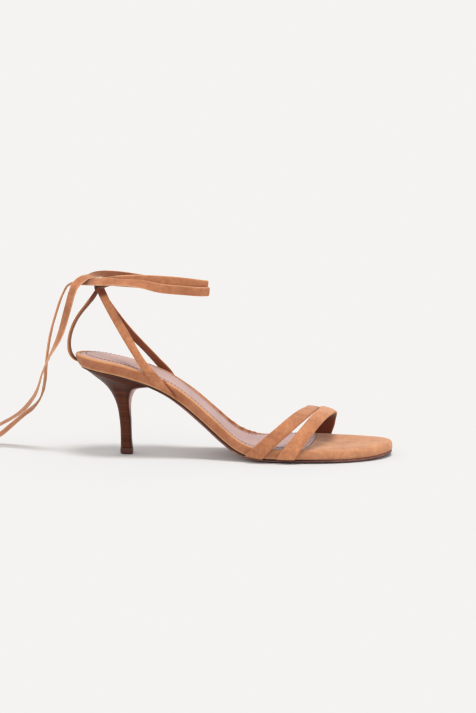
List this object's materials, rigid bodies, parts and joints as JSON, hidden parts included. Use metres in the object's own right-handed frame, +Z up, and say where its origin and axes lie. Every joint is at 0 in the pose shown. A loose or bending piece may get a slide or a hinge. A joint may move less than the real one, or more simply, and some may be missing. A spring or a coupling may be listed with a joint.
{
  "type": "lace-up heeled sandal",
  "caption": "Right lace-up sandal in tan suede with a padded footbed, crossed toe straps, heel cage, long ankle tie and waisted stacked heel.",
  "frame": {"origin": "on the floor, under the middle of the sandal without its two loose tie tails", "axes": "+X from heel to toe, +Y toward the inner side of this right shoe, +Z up"},
  "size_m": [0.3841, 0.1219, 0.1335],
  "materials": {
    "outsole_leather": "smooth dyed sole leather with a darker burnished edge",
    "footbed_suede": "tan suede, short nap, matt",
    "sock_leather": "smooth mauve-grey lining leather, satin, stitched near its edge",
    "stacked_leather": "brown stacked leather with fine level layers, satin",
    "tip_rubber": "dark hard rubber, matt",
    "strap_suede": "folded tan suede strap, short nap, matt",
    "tie_suede": "flat tan suede tie, short nap, matt"
  },
  "bodies": {
    "root": {"outsole": "outsole_leather", "footbed": "footbed_suede", "sock_lining": "sock_leather", "heel": "stacked_leather", "heel_tip": "tip_rubber", "vamp_straps": "strap_suede", "ankle_straps": "strap_suede", "tie_wrap": "tie_suede", "tie_tail_outer": "tie_suede", "tie_tail_inner": "tie_suede"}
  },
  "joints": []
}
